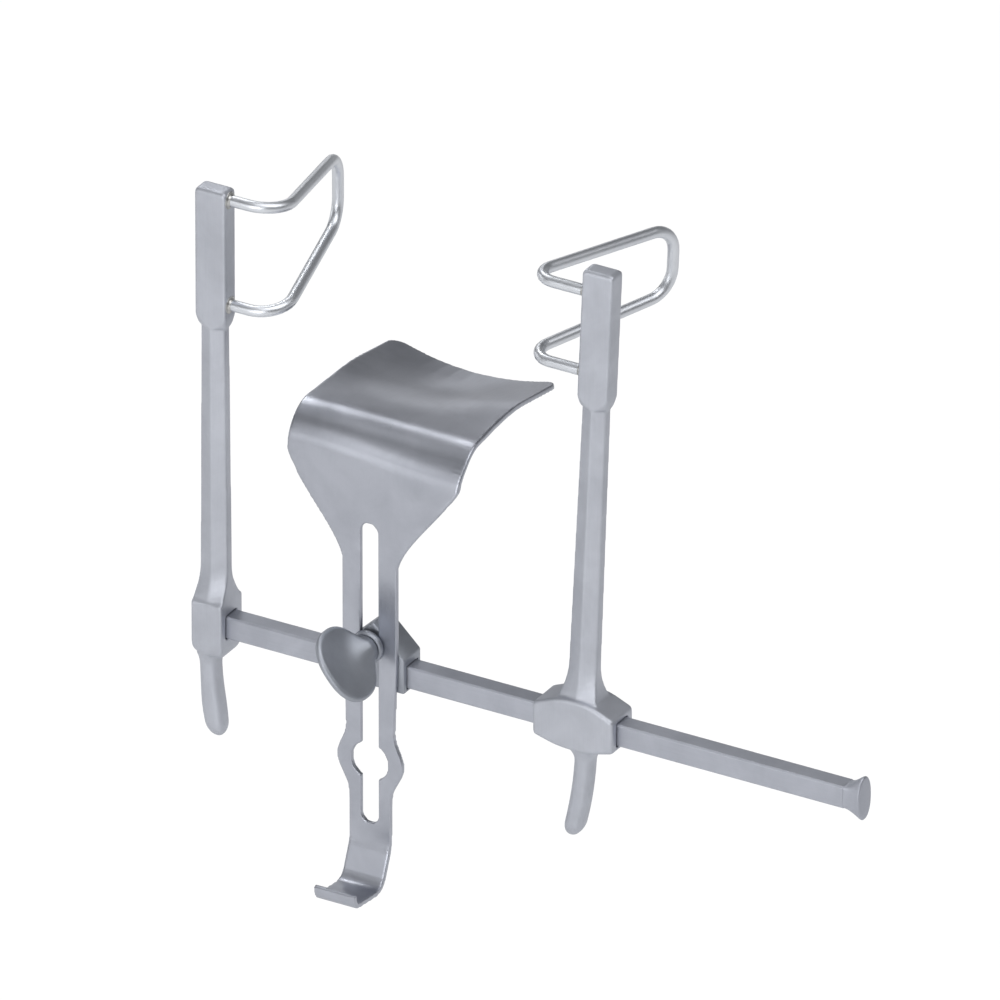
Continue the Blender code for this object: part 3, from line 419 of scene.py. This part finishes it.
endStop = {
    "barEnd": 210.0,    # mm along X
    "count": 48,
    "stations": [       # mm past the bar's end, half depth, half height, power of the oval
        (-0.30, 2.90, 3.40, 9.0), (0.00, 2.96, 3.46, 9.0), (0.40, 2.97, 3.52, 7.0),
        (1.00, 2.98, 3.76, 5.2), (1.70, 3.01, 4.20, 4.0), (2.50, 3.08, 4.80, 3.2),
        (3.30, 3.22, 5.45, 2.7), (4.00, 3.38, 6.04, 2.4), (4.60, 3.54, 6.50, 2.25),
        (5.00, 3.63, 6.72, 2.2), (5.25, 3.63, 6.74, 2.2), (5.45, 3.50, 6.54, 2.2),
        (5.58, 3.22, 6.10, 2.2), (5.64, 2.50, 4.80, 2.2), (5.66, 1.20, 2.30, 2.1),
        (5.66, 0.30, 0.60, 2.0),
    ],
}


# The bar's corners run out into an oval flare, then a thick rim and a nearly flat face.
def makeEndStop():
    sections = []
    for x, halfY, halfZ, power in endStop["stations"]:
        ring = oval(halfY, halfZ, power, endStop["count"])
        sections.append([(endStop["barEnd"] + x, y, z) for y, z in ring])
    addPiece("endStopButton", loft(sections), bar, "frame", nodes=["end_stop"])


makeEndStop()
print("end stop made")


clampParts = {    # mm unless a line says otherwise
    "studAxis": (58.8, 0.0, 9.5),     # at the stud's middle
    "hubBack": -8.7,                  # along Y
    "hubRadius": 4.3,
    "hubChamfer": 0.3,
    "hubCollar": 2.4,                 # length of the hub's plain part
    "hubNose": 1.2,                   # its cone in front of that
    "hubCount": 40,                   # points round the hub
    "thumb": (11.35, 9.9, 2.35),      # half length, half width, power of the oval
    "thumbCount": 72,                 # points round the plate
    "thumbRings": 22,                 # rings from the plate's middle to its rim
    "thumbHalf": 1.15,                # half thickness at the rim
    "thumbBack": 1.1,                 # from the hub's back to the plate
    "thumbTurn": 51.0,                # degrees
    "rimFrom": 0.9,                   # share of the way out where the rim starts to round off
    "rimWidth": 0.1,                  # share that the rounding takes up
    "hollow": 0.40,                   # how far each side is dished in its middle
    "hollowTo": 0.85,                 # share of the way out where the dish ends
    "swell": (3.6, 4.6, 6.2),         # height, width and length of the swelling round the hub
    "cell": 0.18,
    "passes": 30,                     # smoothing that melts the hub and the plate together
    "washerAlong": (-8.6, -6.65),     # along Y, its front and back
    "washerRadius": 5.0,
    "washerBore": 2.7,
    "washerRound": 0.75,              # bulge of the rim
    "washerArc": 8,                   # steps over the bulge
    "washerCount": 56,                # points round it
}


def thumbHeight(c, a, b, share):    # half thickness at a along the plate and b from the hub's back
    height, width, length = c["swell"]
    rim = math.sqrt(max(0.0, 1 - (max(0.0, share - c["rimFrom"]) / c["rimWidth"]) ** 2))
    dish = c["hollow"] * (1 - min(1.0, share / c["hollowTo"]) ** 2)
    swell = height * math.exp(-(a / width) ** 2 - (b / length) ** 2)
    return (c["thumbHalf"] - dish) * rim + swell * rim


def makeThumbPlate(c):
    halfLength, halfWidth, power = c["thumb"]
    middle = -c["thumbBack"] - halfWidth
    turn = math.radians(c["thumbTurn"])
    shape = bmesh.new()
    count, last = c["thumbCount"], c["thumbRings"]
    outline = oval(halfLength, halfWidth, power, count)

    def place(a, b, across):
        x = a * math.cos(turn) + across * math.sin(turn)
        z = across * math.cos(turn) - a * math.sin(turn)
        return shape.verts.new((x * mm, (c["hubBack"] + b) * mm, z * mm))

    centres, sides = [], []
    for side in (-1, 1):
        rings = []
        for k in range(1, last + 1):
            share = math.sin(math.pi / 2 * k / last)    # closer together towards the rim
            if side == 1 and k == last:    # both sides share the rim
                rings.append(sides[0][-1])
                continue
            ring = []
            for a, b in outline:
                a, b = a * share, middle + b * share
                ring.append(place(a, b, side * thumbHeight(c, a, b, share)))
            rings.append(ring)
        sides.append(rings)
        centres.append(place(0, middle, side * thumbHeight(c, 0, middle, 0)))
    for rings, centre in zip(sides, centres):
        for i in range(count):
            j = (i + 1) % count
            shape.faces.new((centre, rings[0][i], rings[0][j]))
            for ring, following in zip(rings, rings[1:]):
                shape.faces.new((ring[i], following[i], following[j], ring[j]))
    return shape


def makeWingNut():    # hub and thumb plate are one forging, so their joint is melted into a wide fillet
    c = clampParts
    back, radius, chamfer, nose = c["hubBack"], c["hubRadius"], c["hubChamfer"], c["hubNose"]
    front = back - c["hubCollar"]
    profile = [(back, radius - chamfer), (back - chamfer, radius),
               (front, radius), (front - nose, radius - nose)]
    shape = turned(profile, c["hubCount"], "Y")
    plate = makeThumbPlate(c)
    mesh = bpy.data.meshes.new("thumbPlate")
    plate.to_mesh(mesh)
    plate.free()
    shape.from_mesh(mesh)
    bpy.data.meshes.remove(mesh)
    nut = addPiece("wingNutForging", shape, clamp, "nut", c["studAxis"], ["wing_nut"])
    soften(nut, c["cell"], c["passes"])


def makeWasher():    # its outer edge is a half round
    c = clampParts
    front, back = c["washerAlong"]
    bulge, steps = c["washerRound"], c["washerArc"]
    profile = [(front, c["washerBore"]), (back, c["washerBore"])]
    for i in range(steps + 1):
        angle = math.pi * i / steps
        profile.append(((front + back) / 2 + (back - front) / 2 * math.cos(angle),
                        c["washerRadius"] - bulge + bulge * math.sin(angle)))
    washer = turned(profile, c["washerCount"], "Y", closed=True)
    addPiece("domedWasher", washer, clamp, "swivel", c["studAxis"], ["clamp_washer"])


makeWingNut()
makeWasher()
print("wing nut and washer made")


brazing = {    # mm
    "wireRadius": 1.7,
    "reach": 0.9,         # up the wire and out over the block
    "sunk": 0.15,         # into both of them
    "arc": 8,             # steps over the fillet's hollow
    "count": 32,          # points round the wire
    "joints": {           # where each wire enters its block: place, way out along X, body
        "fixedUpper": ((10.0, 0.0, 135.2), 1, "frame"),
        "fixedLower": ((10.0, 0.0, 102.0), 1, "frame"),
        "slidingUpper": ((125.28, 0.0, 137.0), -1, "sliding_side"),
        "slidingLower": ((124.17, 0.0, 111.5), -1, "sliding_side"),
    },
}


def makeBrazing():    # a hollow fillet of solder round each wire
    b = brazing
    radius, reach, sunk = b["wireRadius"], b["reach"], b["sunk"]
    for name, (place, way, body) in b["joints"].items():
        profile = [(-sunk * way, radius - sunk), (-sunk * way, radius + reach)]
        for i in range(b["arc"] + 1):
            angle = math.radians(90) * i / b["arc"]
            profile.append((way * reach * (1 - math.cos(angle)),
                            radius + reach * (1 - math.sin(angle))))
        profile.append((way * reach, radius - sunk))
        ring = turned(profile, b["count"], "X", closed=True)
        addPiece(name + "Solder", ring, solder, body, place)


makeBrazing()
print("solder fillets made")


stage = {
    "floorGap": 37.0,          # mm under the hook, which clears the floor when the blade is right down
    "floorSize": 8.0,          # m
    "floorColour": "#f4f4f4",
    "floorRoughness": 0.9,
    "floorSheen": 0.1,
    "seenGlow": 0.90,          # share of plain white that the camera sees, which leaves a faint shadow
    "mirroredGlow": 0.30,      # share of it in the steel's reflections
    "glow": 1.07,              # makes up for the board's share, so that the floor just reaches white
    "worldColour": "#f6f8fb",
    "worldStrength": 0.15,     # on the object; the camera sees the world at 1, past the floor's edge
}


# Matt white paint on board gives no gloss, so all that shows on it is the object's faint shadow.
def makeFloor():
    low = cadBox[0][2] - stage["floorGap"] * mm
    half = stage["floorSize"] / 2
    corners = [(-half, -half, low), (half, -half, low), (half, half, low), (-half, half, low)]
    mesh = bpy.data.meshes.new("floor")
    mesh.from_pydata(corners, [], [(0, 1, 2, 3)])
    floor = bpy.data.objects.new("floor", mesh)
    bpy.context.scene.collection.objects.link(floor)
    material, tree = makeMaterial("whitePaintedBoard")
    board = addNode(tree, "ShaderNodeBsdfPrincipled",
                    {"Base Color": toLinear(stage["floorColour"]), "Roughness": stage["floorRoughness"],
                     "Specular IOR Level": stage["floorSheen"]})
    glow = addNode(tree, "ShaderNodeEmission", {"Color": (1, 1, 1, 1), "Strength": stage["glow"]})
    path = addNode(tree, "ShaderNodeLightPath")
    mirrored = addNode(tree, "ShaderNodeMath", {"operation": "MULTIPLY", 1: stage["mirroredGlow"]},
                       {0: path.outputs["Is Glossy Ray"]})
    share = addNode(tree, "ShaderNodeMath", {"operation": "MULTIPLY_ADD", 1: stage["seenGlow"]},
                    {0: path.outputs["Is Camera Ray"], 2: mirrored.outputs[0]})
    mix = addNode(tree, "ShaderNodeMixShader",
                  links={0: share.outputs[0], 1: board.outputs[0], 2: glow.outputs[0]})
    addNode(tree, "ShaderNodeOutputMaterial", links={"Surface": mix.outputs[0]})
    mesh.materials.append(material)


def makeWorld():
    world = bpy.data.worlds.new("studio")
    bpy.context.scene.world = world
    world.use_nodes = True
    world.node_tree.nodes.clear()
    path = addNode(world.node_tree, "ShaderNodeLightPath")
    strength = addNode(world.node_tree, "ShaderNodeMapRange",
                       {"To Min": stage["worldStrength"], "To Max": 1.0},
                       {"Value": path.outputs["Is Camera Ray"]})
    sky = addNode(world.node_tree, "ShaderNodeBackground", {"Color": toLinear(stage["worldColour"])},
                  {"Strength": strength.outputs[0]})
    addNode(world.node_tree, "ShaderNodeOutputWorld", links={"Surface": sky.outputs[0]})


target = Vector((0.0975, 0.0, 0.0632))    # m, middle of the picture

# way is the azimuth, from the front towards the right, and the elevation, in degrees.
# far and size are in m, and power is in W.
lamps = {
    "overhead": {"way": (60, 75), "far": 1.6, "size": (1.4, 1.4), "power": 10.5},
    "rightHigh": {"way": (90, 50), "far": 1.5, "size": (1.2, 0.8), "power": 4.6},
    "leftHigh": {"way": (-90, 50), "far": 1.5, "size": (1.2, 0.8), "power": 1.0},
    "front": {"way": (5, 9), "far": 1.4, "size": (1.0, 0.4), "power": 4.6},
    "frontLeft": {"way": (-30, 9), "far": 1.4, "size": (1.0, 0.4), "power": 1.2},
    "left": {"way": (-85, 9), "far": 1.4, "size": (1.0, 0.4), "power": 2.0},
    "backLeft": {"way": (-140, 14), "far": 1.4, "size": (0.8, 0.4), "power": 0.95},
    "back": {"way": (180, 12), "far": 1.4, "size": (1.0, 0.4), "power": 0.4},
    "backRight": {"way": (130, 10), "far": 1.4, "size": (1.0, 0.4), "power": 0.5},
    "bendGlint": {"way": (-127, 46), "far": 0.53, "size": (0.16, 0.12), "power": 0.33},
}
floorLamp = {    # lights the board in front
    "place": (0.05, -0.45, 0.32), "size": (0.35, 0.35), "power": 0.8,
}


def lookAt(piece, point):
    piece.rotation_euler = (Vector(point) - piece.location).to_track_quat("-Z", "Y").to_euler()


def wayTo(azimuth, elevation):
    a, e = math.radians(azimuth), math.radians(elevation)
    return Vector((math.sin(a) * math.cos(e), -math.cos(a) * math.cos(e), math.sin(e)))


def addLamp(name, place, size, power, aim):
    light = bpy.data.lights.new(name, "AREA")
    light.shape = "RECTANGLE"
    light.size, light.size_y = size
    light.energy = power
    piece = bpy.data.objects.new(name, light)
    piece.location = place
    piece.visible_camera = False
    bpy.context.scene.collection.objects.link(piece)
    lookAt(piece, aim)


def makeLamps():
    for name, lamp in lamps.items():
        addLamp(name, target + wayTo(*lamp["way"]) * lamp["far"], lamp["size"], lamp["power"], target)
    x, y, z = floorLamp["place"]
    addLamp("floorLamp", (x, y, z), floorLamp["size"], floorLamp["power"], (x, y + mm, cadBox[0][2]))


view = {
    "azimuth": 30.0,       # degrees
    "elevation": 28.2,
    "distance": 10.0,      # m; far off, because the photograph was taken with a long lens
    "width": 0.28066,      # m across the picture at the target
    "sensor": 36.0,        # mm
}


def makeCamera():
    camera = bpy.data.objects.new("camera", bpy.data.cameras.new("camera"))
    bpy.context.scene.collection.objects.link(camera)
    camera.location = target + wayTo(view["azimuth"], view["elevation"]) * view["distance"]
    camera.data.sensor_width = view["sensor"]
    camera.data.lens = view["sensor"] * view["distance"] / view["width"]
    lookAt(camera, target)
    bpy.context.scene.camera = camera


makeFloor()
makeWorld()
makeLamps()
makeCamera()
bpy.context.scene.view_settings.view_transform = "Standard"
print("floor, world, lamps and camera made")
